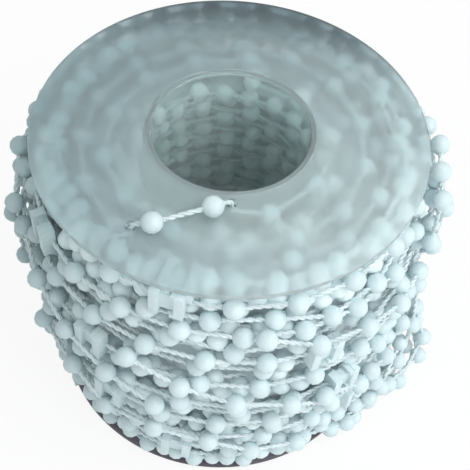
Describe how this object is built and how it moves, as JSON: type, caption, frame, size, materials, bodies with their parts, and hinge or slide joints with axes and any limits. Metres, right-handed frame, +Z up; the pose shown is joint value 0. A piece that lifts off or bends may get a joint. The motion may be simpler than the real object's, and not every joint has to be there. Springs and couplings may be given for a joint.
{
  "type": "spool of vertical blind bottom chain",
  "caption": "Frosted plastic spool, two round flanges on a hollow core tube, wound full with white bead chain that carries moulded clips; the chain's end is threaded through the upper flange.",
  "frame": {"origin": "on the spool's axis, in the plane of the lower flange's underside", "axes": "+Z up along the spool's axis; -Y towards the viewer of the picture, the side on which the chain's end crosses the upper flange; +X to the viewer's right"},
  "size_m": [0.1084, 0.0941, 0.0847],
  "materials": {
    "frosted_plastic": "frosted, translucent, fine satin surface",
    "smoked_plastic": "smoke grey, frosted, fine satin surface",
    "white_plastic": "moulded, satin; the cord is a two-ply twist of the same white"
  },
  "bodies": {
    "root": {"flange_upper": "frosted_plastic", "core_tube": "frosted_plastic", "flange_lower": "smoked_plastic", "wound_chain": "white_plastic", "clip_01": "white_plastic", "clip_02": "white_plastic", "clip_03": "white_plastic", "clip_04": "white_plastic", "clip_05": "white_plastic", "clip_06": "white_plastic", "clip_07": "white_plastic", "clip_08": "white_plastic", "clip_09": "white_plastic", "clip_10": "white_plastic", "clip_11": "white_plastic", "clip_12": "white_plastic", "clip_13": "white_plastic", "clip_14": "white_plastic", "clip_15": "white_plastic", "clip_16": "white_plastic", "clip_17": "white_plastic", "clip_18": "white_plastic", "clip_19": "white_plastic", "clip_20": "white_plastic"}
  },
  "joints": []
}
